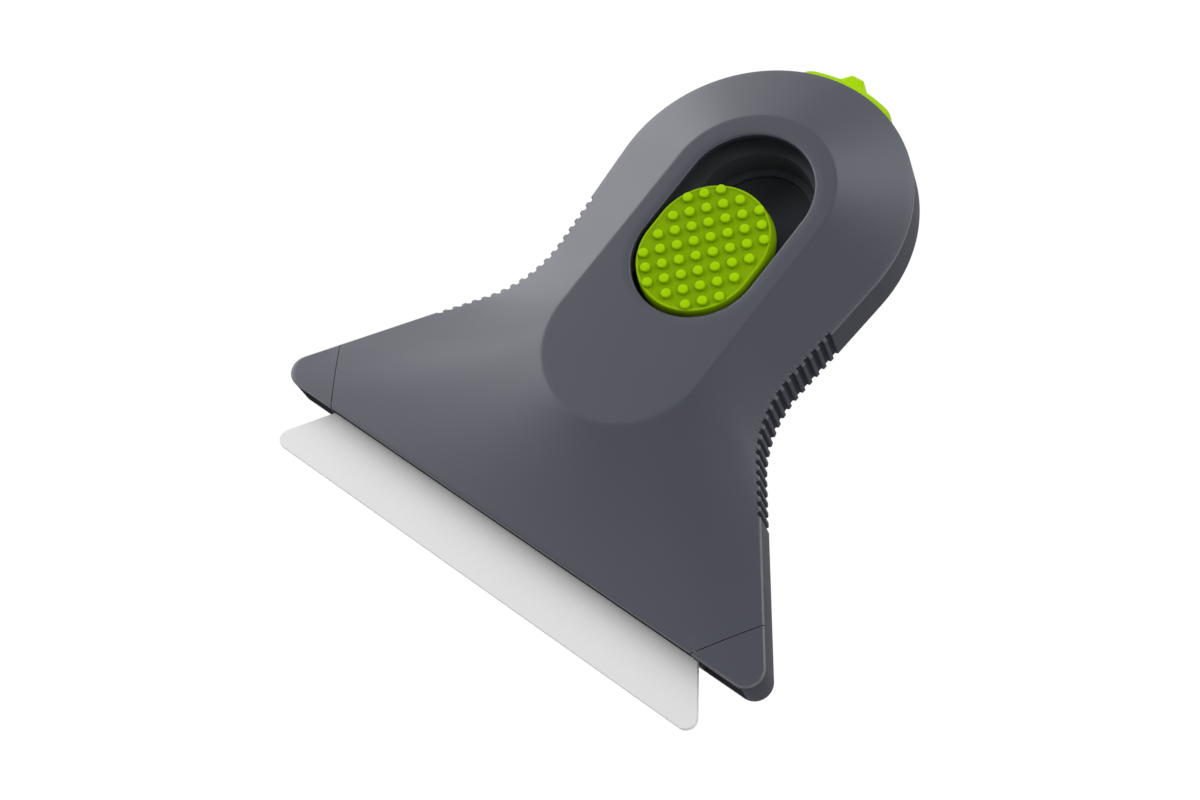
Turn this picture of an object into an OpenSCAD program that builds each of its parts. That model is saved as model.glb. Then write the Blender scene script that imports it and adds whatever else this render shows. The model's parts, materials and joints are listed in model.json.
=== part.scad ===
// Palm scraper with a retracting blade. Millimetres.
// Origin: on the underside, on the upright axis of the rounded handle end.
// +X to the right, +Y towards the handle end, +Z up. The cutting edge faces -Y.

/* [Body outline] */
// overall width across the front corners
body_w = 119.6; // [100:0.2:150]
// length of the body from the front edge to the rear of the handle
body_len = 110.8; // [95:0.2:140]
// radius of the rounded handle end
rear_r = 31.2; // [26:0.2:38]
// angle by which the handle narrows towards the waist
taper_a = 4.63; // [0:0.01:8]
// radius of the hollow grip on each side
waist_r = 24.8; // [14:0.2:40]
// angle of the straight flank from the Y axis
flank_a = 38.9; // [30:0.1:46]
// radius of each front corner
corner_r = 3.4; // [2.6:0.1:6]

/* [Heights] */
// height of the rim, where the side wall meets the top
rim_h = 8.56; // [8.2:0.02:10]
// height of the flat on top
top_h = 13.6; // [12.8:0.1:16]
// radius of the flat's round ends
flat_r = 17.2; // [15.4:0.1:20]
// distance between the centres of the flat's round ends
flat_len = 38; // [30:0.5:46]

/* [Walls] */
// side wall of the lower shell
wall = 1.6; // [1.4:0.1:2.2]
// floor of the lower shell
floor_t = 1.2; // [1:0.1:1.6]
// skin of the cover
skin = 1.4; // [1.2:0.1:1.8]
// gap of the seam between the cover and the corner tips
seam_gap = 0.25; // [0.15:0.05:0.4]
// width of each corner tip along the front edge, outside the seam
tip_w = 13.6; // [8:0.2:18]
// angle of the seam from the Y axis
seam_a = 34.2; // [25:0.1:42]
// depth of the front lips
lip_d = 3.6; // [3:0.1:4.2]

/* [Grip ribs] */
// number of grooves on each side
groove_n = 20; // [12:1:24]
// spacing of the grooves along the wall
groove_pitch = 2.05; // [1.8:0.05:2.4]
// radius of each groove
groove_r = 0.6; // [0.4:0.05:0.75]
// distance of the first groove in front of the handle centre
groove_y = 15.8; // [12:0.2:20]

/* [Thumb button] */
// radius of the button's round ends at the top
button_r = 12.05; // [10.5:0.05:13]
// distance between the centres of the button's round ends
button_len = 4.1; // [2:0.1:8]
// height of the button's top face
button_h = 13.5; // [12.8:0.1:15]
// how much wider the button is at its foot
button_flare = 0.4; // [0:0.05:0.5]
// height of the button's body
button_t = 3; // [2.8:0.1:3.2]
// gap between the button and the slot at the top
slot_gap = 1; // [0.8:0.05:1.4]
// chamfer along the slot's edge
slot_edge = 0.5; // [0.2:0.05:0.7]
// diameter of each grip dot
dot_d = 2.05; // [1.4:0.05:2.4]
// height of each grip dot
dot_h = 0.7; // [0.3:0.05:1]
// spacing of the grip dots across and along
dot_pitch = 2.367; // [2.2:0.01:2.6]

/* [Blade] */
// travel of the slider from cutting to fully inside
travel = 12; // [10:0.5:12.5]
// how far the cutting edge stands out of the front edge
blade_out = 11.4; // [9:0.1:11.8]
// length of the cutting edge before its corners are rounded
blade_w = 111.4; // [100:0.2:114]
// depth of the blade from the cutting edge to its back
blade_d = 25.4; // [22:0.2:26]
// thickness of the blade
blade_t = 1; // [0.8:0.1:1.2]
// height of the blade's underside
blade_z = 4.1; // [3.9:0.05:4.3]
// angle of the blade's ends from the Y axis
blade_a = 37.34; // [30:0.1:42]
// radius of the blade's front corners
blade_tip_r = 2.1; // [1.5:0.1:4]
// width of the ground faces along the cutting edge
grind = 1.6; // [0.6:0.1:3]

/* [Slider] */
// thickness of the sled under the blade
sled_t = 1.7; // [1.5:0.1:1.8]
// half width of the sled where it runs in its guide
sled_hw = 14.2; // [13.4:0.1:15]
// running gap of the sled in its guide
run_gap = 0.1; // [0.05:0.01:0.2]
// spacing of the three click positions
click_pitch = 6; // [5:0.25:6.25]
// half width of the sled's wings
wing_hw = 30; // [26:0.5:32]
// thickness of the blade clamp
clamp_t = 1.2; // [1:0.1:1.4]

/* [Rear latch] */
// thickness of the latch plate outside the wall
latch_t = 1.1; // [0.6:0.05:1.3]
// half angle of the latch plate
latch_a = 20; // [19:0.5:24]
// height of the latch plate's top
latch_top = 7.8; // [7:0.1:8]
// height of the latch plate's foot
latch_foot = 1.6; // [1.2:0.1:2.4]
// how far the finger ridge stands out from the wall
ridge_out = 3.2; // [2.4:0.1:4]
// half width of the finger ridge at its foot
ridge_hw = 3.1; // [2.6:0.1:3.6]
// turn of the latch from locked to free
latch_turn = 12; // [11.5:0.5:13]

/* [Pins and screws] */
// radius of the cover's hinge pins
pin_r = 0.5; // [0.4:0.05:0.6]
// running clearance of the hinge pins in the cover
pin_fit = 0.05; // [0.02:0.01:0.08]
// radius of the screws' shanks
screw_r = 1; // [0.8:0.05:1.1]
// radius of the screws' heads
head_r = 2.1; // [1.9:0.05:2.3]

/* [Hidden] */
$fn = 72;
e = 0.01;
hw = body_w / 2;
front_y = rear_r - body_len;
n1 = [cos(taper_a), -sin(taper_a)];
n2 = [cos(flank_a), sin(flank_a)];
kc = [hw - corner_r, front_y + corner_r];
flank_c = n2 * kc + corner_r;
// crossing of two lines n.p = c
function cross2(na, ca, nb, cb) =
    let (d = na[0] * nb[1] - na[1] * nb[0])
    [(ca * nb[1] - cb * na[1]) / d, (na[0] * cb - nb[0] * ca) / d];
wc = cross2(n1, rear_r + waist_r, n2, flank_c + waist_r);
t1 = wc - waist_r * n1;
t2 = wc - waist_r * n2;
t0 = rear_r * n1;
ft = kc + corner_r * n2;
seam_x = hw - tip_w;
seam_t = tan(seam_a);
seam_in = seam_x - seam_gap / 2 / cos(seam_a);
seam_ease = 0.34;
ease_l = 5;
edge_gap = 0.1;
wall_top = rim_h - 0.36;
in_r = rear_r - wall;
// slot and button
slot_r = button_r + slot_gap;
slot_y1 = -0.3;
btn_y1 = slot_y1 - travel - 0.1;
btn_y0 = btn_y1 - button_len;
slot_y0 = btn_y0;
dot_y = (btn_y0 + btn_y1) / 2 + 0.15;
foot_z = button_h - button_t;
foot_r = button_r + button_flare;
// blade, sled and clamp
cut_y = front_y - blade_out;
back_y = cut_y + blade_d;
blade_top = blade_z + blade_t;
mouth_lo = blade_z - 0.3;
mouth_hi = blade_top + 0.6;
blade_tan = tan(blade_a);
sled_z = blade_z - sled_t;
wing_y0 = front_y + lip_d + 0.5;
wing_y1 = back_y;
guide_r = 11.9;
tower_r = 11.4;
spigot_r = 10;
guide_y0 = back_y + travel + 1;
guide_top = 8;
guide_r_out = 24.8;
guide_hw = sled_hw + 6.8;
plate_z = floor_t + 0.1;
plate_top = sled_z - 0.2;
pin_x = 24;
clamp_x = 10;
hold_y = (wing_y0 + wing_y1) / 2;
dowel_r = 1.2;
fix_xf = sled_hw + 3.4;
fix_yf = guide_y0 + 5;
fix_xr = 18;
fix_yr = 8;
boss_r = 2.2;
boss_top = 4;
// click spring
click_y = guide_y0 + 8.6;
strip_l = 11;
strip_y = click_y - strip_l;
strip_w = 5;
strip_t = 0.3;
strip_end = 2;
strip_z = 0.5;
click_hw = 0.9;
click_dip = 0.2;
click_r = 0.78;
bed_l = strip_l + 4;
// hinge
hinge_y = front_y + 1;
hinge_z = rim_h - 0.81;
pin_l = 6;
pin_x0 = seam_x + seam_t - pin_l / 2;
// latch ring
ring_ri = in_r - 1.6;
ring_ro = in_r - 0.15;
ring_z0 = floor_t + 0.15;
ring_top = 6.2;
rail_ro = ring_ri - 0.15;
rail_ri = rail_ro - 1.25;
rail_top = 3.2;
leg_ro = rail_ro - 0.1;
leg_ri = leg_ro - 1.25;
leg_z = 4.2;
tab_z = 5.35;
foot_top = tab_z - 0.15;
leg_phi = [-30, 22];
web_a = 6;
web_z0 = 3.7;
web_z1 = 5.5;
lock_a = 3.4;
lock_z = (web_z0 + web_z1) / 2;
lock_r = 0.6;
lock_head = 1.15;

// outline in front of the handle's round end, right side, moved in by d
function steps(n, m) = [for (i = [0 : n - 1]) (i + m) / n];
// m = 0 gives the outline's own corners, 0.5 the points halfway between them
function half(d = 0, m = 0) = let (r = rear_r - d, rw = waist_r + d, rk = max(corner_r - d, 0),
    kk = rk > 0 ? kc : cross2(n2, flank_c - d, [0, -1], -(front_y + d)),
    q0 = r * n1, q1 = wc - rw * n1, q2 = wc - rw * n2, q3 = kk + rk * n2) concat(
    [for (u = steps(5, m)) q0 + u * (q1 - q0)],
    [for (u = steps(9, m)) let (a = 180 - taper_a + u * (flank_a + taper_a)) wc + rw * [cos(a), sin(a)]],
    [for (u = steps(8, m)) q2 + u * (q3 - q2)],
    [for (u = steps(rk > 0 ? 6 : 1, m)) let (a = flank_a - u * (90 + flank_a)) kk + rk * [cos(a), sin(a)]],
    [for (u = steps(8, m)) [(1 - u) * kk[0], front_y + d]]);
function both(h) = concat(h, [[0, h[len(h) - 1][1]]], [for (i = [len(h) - 1 : -1 : 0]) [-h[i][0], h[i][1]]]);
module slab(z0, z1, d = 0) translate([0, 0, z0]) {
    cylinder(r = rear_r - d, h = z1 - z0);
    linear_extrude(z1 - z0) polygon(both(half(d)));
}
// the plan of the corner tips, on both sides; g moves its edge outwards
module tips(z0, z1, g = 0) for (s = [0, 1]) mirror([s, 0, 0])
    translate([0, 0, z0]) linear_extrude(z1 - z0)
        translate([seam_x + g / cos(seam_a), front_y]) polygon([
            [-8 * seam_t, -8], [rear_r * seam_t, rear_r], [body_w, rear_r], [body_w, -8]]);
module pill(r, y0, y1, z0, z1) {
    for (y = [y0, y1]) translate([0, y, z0]) cylinder(r = r, h = z1 - z0);
    translate([-r, y0, z0]) cube([2 * r, y1 - y0, z1 - z0]);
}
// a pill with sloping sides, radius ra at z0 and rb at z1
module pill_cone(ra, rb, y0, y1, z0, z1) {
    for (y = [y0, y1]) translate([0, y, z0]) cylinder(r1 = ra, r2 = rb, h = z1 - z0);
    translate([0, y1, 0]) rotate([90, 0, 0]) linear_extrude(y1 - y0)
        polygon([[-ra, z0], [ra, z0], [rb, z1], [-rb, z1]]);
}
// a part of a ring about the handle axis; angles from +Y towards +X
module arc(ri, ro, a0, a1, z0, z1) translate([0, 0, z0])
    rotate([0, 0, 90 - a1]) rotate_extrude(angle = a1 - a0) translate([ri, 0]) square([ro - ri, z1 - z0]);
module at(phi, r, z) rotate([0, 0, -phi]) translate([0, r, z]) children();

// sloping top: a straight line from each point of the rim to the nearest point of the flat
rear_pts = [for (u = steps(18, 0.5)) let (a = 180 + taper_a - u * (180 + 2 * taper_a)) rear_r * [cos(a), sin(a)]];
rim_pts = concat(both(half(0, 0.5)), rear_pts);
function nearest(q) = let (yc = min(0, max(-flat_len, q[1])), d = q - [0, yc]) [0, yc] + flat_r * d / norm(d);
// f = 0 at the rim, 1 at the flat, below 0 outside the rim
function ring_pt(q, f, drop) = let (p = nearest(q))
    [q[0] + f * (p[0] - q[0]), q[1] + f * (p[1] - q[1]), rim_h + f * (top_h - rim_h) - drop];
module dome(z0, drop = 0) {
    n = len(rim_pts);
    out = [for (q = rim_pts) ring_pt(q, -2 / norm(q - nearest(q)), drop)];
    mid = [[0, -flat_len / 2, z0], [0, -flat_len / 2, top_h - drop]];
    pts = concat([for (v = out) [v[0], v[1], z0]], out, [for (q = rim_pts) ring_pt(q, 1, drop)], mid);
    side = [for (k = [0, 1], i = [0 : n - 1]) let (j = (i + 1) % n)
        each [[k * n + i, k * n + j, (k + 1) * n + i], [k * n + j, (k + 1) * n + j, (k + 1) * n + i]]];
    ends = [for (i = [0 : n - 1]) let (j = (i + 1) % n) each [[j, i, 3 * n], [2 * n + i, 2 * n + j, 3 * n + 1]]];
    polyhedron(pts, concat(side, ends));
}

// centres of the grip grooves along the side wall
g_len1 = norm(t1 - [t0[0] + (t1[0] - t0[0]) * groove_y / -t1[1], -groove_y]);
g_arc = waist_r * (flank_a + taper_a) * PI / 180;
function groove_c(i) = let (s = i * groove_pitch)
    s < g_len1 ? t1 + (g_len1 - s) * (t0 - t1) / norm(t0 - t1)
    : s < g_len1 + g_arc ? let (a = 180 - taper_a + (s - g_len1) / waist_r * 180 / PI)
        wc + waist_r * [cos(a), sin(a)]
    : t2 + (s - g_len1 - g_arc) * (ft - t2) / norm(ft - t2);
module grooves(z0, z1) for (s = [0, 1], i = [0 : groove_n - 1]) mirror([s, 0, 0])
    translate([groove_c(i)[0], groove_c(i)[1], z0]) cylinder(r = groove_r, h = z1 - z0, $fn = 24);

// the space that the blade sweeps, from cutting to fully inside, with room g at its ends
module blade_room(z0, z1, g) {
    w = blade_w / 2 + g;
    y1 = back_y + travel + 0.5;
    xr = w - (blade_d + 0.5) * blade_tan;
    translate([0, 0, z0]) linear_extrude(z1 - z0) polygon([
        [-w, cut_y - 1], [w, cut_y - 1], [w, cut_y + travel], [xr, y1], [-xr, y1], [-w, cut_y + travel]]);
}

// pocket in the front of each corner tip, beside the blade and under the hinge pin
module tip_pocket() for (s = [0, 1]) mirror([s, 0, 0])
    translate([0, 0, floor_t + 0.4]) linear_extrude(hinge_z - pin_r - 0.75 - floor_t)
        polygon([[seam_x + 1, front_y - 1], [hw - corner_r + 0.9, front_y - 1],
            [hw - corner_r + 0.9, front_y + 0.4], [hw - corner_r - 1, front_y + lip_d + 0.1],
            [seam_x + 1, front_y + lip_d + 0.1]]);

module base_shell() color([0.22, 0.23, 0.26]) difference() {
    union() {
        slab(0.7, wall_top);
        slab(0.3, 0.7 + e, 0.15);
        slab(0, 0.3 + e, 0.45);
        intersection() {
            dome(wall_top - 1);
            slab(wall_top - e, top_h, 0);
            tips(wall_top - 1, top_h, seam_gap / 2);
        }
    }
    // hollow behind the front lip, and above the floor
    difference() {
        slab(floor_t, wall_top + e, wall);
        translate([-hw, front_y - 1, 0]) cube([body_w, lip_d + 1, mouth_lo]);
        tips(mouth_hi, wall_top + 1, seam_gap / 2);
        for (s = [1, -1]) {
            translate([s * fix_xf, fix_yf, 0]) cylinder(r = boss_r, h = boss_top);
            translate([s * fix_xr, fix_yr, 0]) cylinder(r = boss_r, h = boss_top);
        }
        arc(rail_ri, rail_ro, leg_phi[0] - 8, leg_phi[1] + 28, 0, rail_top);
    }
    // the mouth and everything above it between the corner tips
    blade_room(mouth_lo, mouth_hi, 0.9);
    difference() {
        translate([-hw, front_y - 1, mouth_hi - e]) cube([body_w, lip_d + 3, 9]);
        tips(0, 20, seam_gap / 2);
    }
    tip_pocket();
    grooves(-1, rim_h + 2);
    for (s = [1, -1]) {
        translate([s * fix_xf, fix_yf, floor_t]) cylinder(r = screw_r, h = 9);
        translate([s * fix_xr, fix_yr, floor_t]) cylinder(r = screw_r, h = 9);
    }
    // bores of the hinge pins
    for (s = [0, 1]) mirror([s, 0, 0]) translate([pin_x0, hinge_y, hinge_z]) rotate([0, 90, 0])
        cylinder(r = pin_r, h = pin_l + 0.1);
    // window of the latch
    arc(in_r - 1, rear_r + 1, -web_a - 0.6, web_a + latch_turn + 0.6, web_z0 - 0.1, web_z1 + 0.1);
}

module top_cover() color([0.26, 0.27, 0.30]) difference() {
    union() {
        difference() {
            intersection() {
                dome(wall_top - 1);
                slab(wall_top + edge_gap, top_h + 1, 0);
            }
            intersection() {
                dome(0, skin);
                slab(1, top_h, wall + 0.2);
            }
        }
        // front lip, down to the mouth
        intersection() {
            dome(1);
            slab(mouth_hi, top_h, 0);
            translate([-hw, front_y, 0]) cube([body_w, lip_d + 0.4, 20]);
        }
        // locating rib inside the side wall
        intersection() {
            difference() {
                slab(wall_top - 1.7, top_h, wall + 0.2);
                slab(1, top_h, wall + 1.2);
            }
            dome(1, skin / 2);
            translate([-hw, front_y + 20, 0]) cube([body_w, body_len, 20]);
        }
        // catches for the latch
        intersection() {
            dome(1, skin / 2);
            for (p = leg_phi) difference() {
                arc(leg_ri, leg_ro, p - 3, p + 11, leg_z, top_h);
                arc(leg_ri - 1, leg_ro + 1, p + 3, p + 12, foot_top, top_h + 1);
            }
        }
    }
    tips(0, 20, -seam_gap / 2);
    // eased ends of the seams, so that the cover can swing up between the corner tips
    for (s = [0, 1]) mirror([s, 0, 0]) linear_extrude(20) translate([seam_in, front_y]) polygon([
        [-seam_ease, 0], [ease_l * seam_t + 0.1, ease_l], [2 * ease_l, ease_l], [2 * ease_l, -1],
        [-seam_ease, -1]]);
    grooves(0, rim_h + 2);
    pill(slot_r, slot_y0, slot_y1, 0, top_h + 1);
    pill_cone(slot_r, slot_r + slot_edge + e, slot_y0, slot_y1, top_h - slot_edge, top_h + e);
    // bores that turn on the hinge pins
    for (s = [0, 1]) mirror([s, 0, 0]) translate([pin_x0 - 0.1, hinge_y, hinge_z]) rotate([0, 90, 0])
        cylinder(r = pin_r + pin_fit, h = pin_l);
}

module guide_frame() color([0.10, 0.10, 0.11]) difference() {
    union() {
        translate([0, 0, plate_z]) cylinder(r = guide_r_out, h = guide_top - plate_z);
        translate([-guide_hw, guide_y0, plate_z]) cube([2 * guide_hw, -guide_y0, guide_top - plate_z]);
    }
    // channel for the slider, with its grooves
    translate([0, 0, plate_top]) cylinder(r = guide_r, h = 9);
    translate([-guide_r, guide_y0 - 1, plate_top]) cube([2 * guide_r, 1 - guide_y0, 9]);
    translate([-sled_hw - run_gap, guide_y0 - 1, sled_z - run_gap])
        cube([2 * (sled_hw + run_gap), 1 - guide_y0, sled_t + 2 * run_gap]);
    // opening in the plate under the slot
    pill(guide_r - 1.5, -14, 0, 0, 9);
    // three click notches
    for (k = [0 : 2]) translate([-strip_w / 2 - 0.5, click_y + k * click_pitch, plate_top + 0.25])
        rotate([0, 90, 0]) cylinder(r = 1, h = strip_w + 1, $fn = 32);
    for (s = [1, -1]) {
        translate([s * fix_xf, fix_yf, 0]) {
            cylinder(r = boss_r + 0.1, h = boss_top + 0.1);
            cylinder(r = screw_r + 0.25, h = 20);
            translate([0, 0, guide_top - 1.2]) cylinder(r = head_r + 0.2, h = 9);
        }
        translate([s * fix_xr, fix_yr, 0]) {
            cylinder(r = boss_r + 0.1, h = boss_top + 0.1);
            cylinder(r = screw_r + 0.25, h = 20);
            translate([0, 0, guide_top - 1.2]) cylinder(r = head_r + 0.2, h = 9);
        }
    }
    // pockets that keep the walls even
    for (s = [1, -1]) translate([s * (guide_hw + sled_hw) / 2 - 1.6, fix_yf + 5, 0])
        cube([3.2, -fix_yf - 9, guide_top - 1.6]);
}

module frame_screw(x, y) color([0.62, 0.63, 0.66]) translate([x, y, 0]) difference() {
    union() {
        translate([0, 0, floor_t + 0.2]) cylinder(r = screw_r - 0.02, h = guide_top - 1.2 - floor_t - 0.2 + e);
        translate([0, 0, guide_top - 1.2]) cylinder(r = head_r, h = 1);
    }
    translate([0, 0, guide_top - 0.8]) cylinder(r = 0.8, h = 2, $fn = 6);
}
module frame_screw_fl() frame_screw(-fix_xf, fix_yf);
module frame_screw_fr() frame_screw(fix_xf, fix_yf);
module frame_screw_rl() frame_screw(-fix_xr, fix_yr);
module frame_screw_rr() frame_screw(fix_xr, fix_yr);

module hinge_pin(s) color([0.70, 0.71, 0.73]) mirror([s, 0, 0]) translate([pin_x0, hinge_y, hinge_z])
    rotate([0, 90, 0]) cylinder(r = pin_r, h = pin_l);
module hinge_pin_r() hinge_pin(0);
module hinge_pin_l() hinge_pin(1);

module thumb_button() color([0.55, 0.78, 0.02]) difference() {
    union() {
        pill_cone(foot_r, button_r, btn_y0, btn_y1, foot_z, button_h);
        for (i = [-4 : 4], j = [-5 : 5])
            if (abs(i + j) % 2 == 1 && abs(i) + abs(j) <= 7)
                translate([i * dot_pitch, dot_y + j * dot_pitch, button_h - 0.2])
                    cylinder(r = dot_d / 2, h = dot_h + 0.2, $fn = 32);
    }
    pill(spigot_r + 0.1, btn_y0, btn_y1, foot_z - 1, foot_z + 1.6);
    for (y = [btn_y0 - 4, btn_y1 + 4]) translate([0, y, foot_z]) cylinder(r = screw_r, h = button_t - 0.5);
}

module sled() color([0.12, 0.12, 0.13]) difference() {
    union() {
        // plate in the guide, and its wings under the blade
        translate([-sled_hw, wing_y0, sled_z]) cube([2 * sled_hw, btn_y0 - wing_y0, sled_t]);
        translate([-wing_hw, wing_y0, sled_z]) cube([2 * wing_hw, wing_y1 - wing_y0, sled_t]);
        // tower up to the button
        pill(tower_r, btn_y0, btn_y1, sled_z, foot_z);
        pill(spigot_r, btn_y0, btn_y1, foot_z - e, foot_z + 1.5);
        // ribs that stiffen the plate
        for (s = [1, -1]) translate([s * 7 - 0.8, back_y + 1, blade_z - e])
            cube([1.6, btn_y0 - tower_r - back_y + 2, 1.6]);
    }
    // hollow of the tower, open below
    difference() {
        pill(tower_r - 2.4, btn_y0, btn_y1, sled_z - 1, foot_z - 1.4);
        for (y = [btn_y0 - 4, btn_y1 + 4]) translate([0, y, sled_z - 1]) cylinder(r = 3.6, h = 20);
    }
    for (y = [btn_y0 - 4, btn_y1 + 4]) translate([0, y, sled_z - 1]) {
        cylinder(r = screw_r + 0.2, h = 20);
        cylinder(r = head_r + 0.2, h = 2.4);
    }
    for (s = [1, -1]) {
        translate([s * clamp_x, hold_y, sled_z - 1]) cylinder(r = screw_r, h = 9);
        translate([s * pin_x, hold_y, sled_z + 0.2]) cylinder(r = dowel_r, h = 9);
    }
    // bed of the click spring
    translate([-strip_w / 2 - 0.2, strip_y - strip_end - 0.2, sled_z - 1])
        cube([strip_w + 0.4, bed_l, 1 + strip_z + strip_t]);
    translate([0, strip_y, 0]) cylinder(r = 0.9, h = 9);
}

module click_spring() color([0.75, 0.76, 0.78]) difference() {
    union() {
        translate([strip_w / 2, 0, sled_z]) rotate([0, -90, 0]) linear_extrude(strip_w) polygon([
            [strip_z, strip_y - strip_end], [strip_z + strip_t, strip_y - strip_end],
            [strip_z + strip_t, strip_y + strip_end], [strip_t - click_dip, click_y - click_hw],
            [strip_t - click_dip, click_y + click_hw - 0.1], [strip_z + click_dip, click_y + 2 * click_hw - 0.1],
            [strip_z - click_dip / 2, click_y + 2 * click_hw - 0.1], [-click_dip, click_y + click_hw],
            [-click_dip, click_y - click_hw], [strip_z, strip_y + strip_end]]);
        translate([-strip_w / 2, click_y, sled_z - click_dip / 4]) rotate([0, 90, 0])
            cylinder(r = click_r, h = strip_w, $fn = 32);
    }
    translate([0, strip_y, 0]) cylinder(r = 0.95, h = 9);
    // the click is flat on top
    translate([-strip_w, click_y - strip_end, sled_z + strip_t - click_dip])
        cube([2 * strip_w, 2 * strip_end, 2 * click_r]);
}
module click_rivet() color([0.70, 0.71, 0.73]) {
    translate([0, strip_y, sled_z + 0.3]) cylinder(r = 0.88, h = sled_t - 0.3);
    translate([0, strip_y, sled_z + 0.1]) cylinder(r = 1.5, h = strip_z - 0.1);
}

module blade() color([0.93, 0.93, 0.92]) difference() {
    w = blade_w / 2;
    xr = w - blade_d * blade_tan;
    bn = [cos(blade_a), sin(blade_a)];
    // rounded front corners: centre of each corner circle
    bc = cross2(bn, bn * [w, cut_y] - blade_tip_r, [0, -1], -cut_y - blade_tip_r);
    intersection() {
        translate([0, 0, blade_z - 1]) union() {
            linear_extrude(blade_t + 2) polygon([[-xr, back_y], [xr, back_y], bc + blade_tip_r * bn, bc,
                [bc[0], cut_y], [-bc[0], cut_y], [-bc[0], bc[1]],
                [-bc[0] - blade_tip_r * bn[0], bc[1] + blade_tip_r * bn[1]]]);
            for (s = [1, -1]) translate([s * bc[0], bc[1], 0]) cylinder(r = blade_tip_r, h = blade_t + 2);
        }
        // side view, with the ground faces along the cutting edge
        translate([w, 0, blade_z]) rotate([0, -90, 0]) linear_extrude(2 * w) polygon([
            [0, back_y + 1], [0, cut_y + grind], [blade_t / 2 - 0.06, cut_y],
            [blade_t / 2 + 0.06, cut_y], [blade_t, cut_y + grind], [blade_t, back_y + 1]]);
    }
    for (s = [1, -1]) {
        translate([s * pin_x, hold_y, 0]) cylinder(r = dowel_r + 0.1, h = 9);
        translate([s * clamp_x, hold_y, 0]) cylinder(r = screw_r + 0.3, h = 9);
    }
}

module blade_clamp() color([0.20, 0.21, 0.23]) difference() {
    translate([0, 0, blade_top]) linear_extrude(clamp_t)
        polygon([[-wing_hw, wing_y0 + 1], [wing_hw, wing_y0 + 1], [wing_hw - 3, wing_y1 - 0.5],
            [-wing_hw + 3, wing_y1 - 0.5]]);
    for (s = [1, -1]) {
        translate([s * pin_x, hold_y, 0]) cylinder(r = dowel_r + 0.1, h = 9);
        translate([s * clamp_x, hold_y, 0]) cylinder(r = screw_r + 0.2, h = 9);
    }
}
module clamp_screw(s) color([0.62, 0.63, 0.66]) translate([s * clamp_x, hold_y, 0]) difference() {
    union() {
        translate([0, 0, sled_z + 0.1]) cylinder(r = screw_r - 0.02, h = blade_top + clamp_t - sled_z);
        translate([0, 0, blade_top + clamp_t]) cylinder(r = head_r, h = 0.9);
    }
    translate([0, 0, blade_top + clamp_t + 0.4]) cylinder(r = 0.8, h = 2, $fn = 6);
}
module clamp_screw_l() clamp_screw(-1);
module clamp_screw_r() clamp_screw(1);
module blade_dowel(s) color([0.70, 0.71, 0.73]) translate([s * pin_x, hold_y, sled_z + 0.2])
    cylinder(r = dowel_r - 0.01, h = blade_top + clamp_t - sled_z - 0.3);
module blade_dowel_l() blade_dowel(-1);
module blade_dowel_r() blade_dowel(1);

module button_screw(y) color([0.62, 0.63, 0.66]) translate([0, y, sled_z + 0.1]) difference() {
    union() {
        cylinder(r = screw_r - 0.02, h = foot_z + button_t - 0.7 - sled_z);
        cylinder(r = head_r, h = 1.3);
    }
    translate([0, 0, -1]) cylinder(r = 0.8, h = 1.6, $fn = 6);
}
module button_screw_f() button_screw(btn_y0 - 4);
module button_screw_b() button_screw(btn_y1 + 4);

module latch_slide() color([0.55, 0.78, 0.02]) difference() {
    union() {
        arc(rear_r + 0.05, rear_r + 0.05 + latch_t, -latch_a, latch_a, latch_foot, latch_top);
        // finger ridge
        translate([0, rear_r, latch_foot + 0.9]) linear_extrude(latch_top - latch_foot - 1.1) {
            polygon([[-ridge_hw, 0.1], [ridge_hw, 0.1], [2.1, ridge_out - 0.8], [1.3, ridge_out],
                [-1.3, ridge_out], [-2.1, ridge_out - 0.8]]);
            for (s = [1, -1]) translate([s * 1.3, ridge_out - 0.8]) circle(0.8, $fn = 32);
        }
        // web through the window of the wall
        arc(ring_ro + 0.02, rear_r + 0.4, -web_a, web_a, web_z0, web_z1);
    }
    for (a = [-lock_a, lock_a]) at(a, ring_ro - 1, lock_z) rotate([-90, 0, 0])
        cylinder(r = lock_r, h = 3.2, $fn = 32);
}
module latch_ring() color([0.12, 0.12, 0.13]) difference() {
    union() {
        arc(ring_ri, ring_ro, leg_phi[0], leg_phi[1] + 12, ring_z0, ring_top);
        for (p = leg_phi) arc(leg_ri - 0.1, ring_ri + 0.1, p + 3.6, p + 10.6, tab_z, ring_top);
    }
    for (a = [-lock_a, lock_a]) at(a, ring_ri - 1, lock_z) rotate([-90, 0, 0])
        cylinder(r = lock_r + 0.1, h = 4, $fn = 32);
}
module latch_screw(a) color([0.62, 0.63, 0.66]) at(a, 0, lock_z) difference() {
    union() {
        translate([0, ring_ri - 1.0, 0]) rotate([-90, 0, 0]) cylinder(r = lock_head, h = 0.95, $fn = 32);
        translate([0, ring_ri - 0.1, 0]) rotate([-90, 0, 0])
            cylinder(r = lock_r - 0.02, h = rear_r - ring_ri - 0.1, $fn = 32);
    }
    translate([0, ring_ri - 2, 0]) rotate([-90, 0, 0]) cylinder(r = 0.5, h = 1.5, $fn = 6);
}
module latch_screw_l() latch_screw(-lock_a);
module latch_screw_r() latch_screw(lock_a);

base_shell();
top_cover();
guide_frame();
frame_screw_fl();
frame_screw_fr();
frame_screw_rl();
frame_screw_rr();
hinge_pin_l();
hinge_pin_r();
thumb_button();
sled();
click_spring();
click_rivet();
blade();
blade_clamp();
clamp_screw_l();
clamp_screw_r();
blade_dowel_l();
blade_dowel_r();
button_screw_f();
button_screw_b();
latch_slide();
latch_ring();
latch_screw_l();
latch_screw_r();
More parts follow.
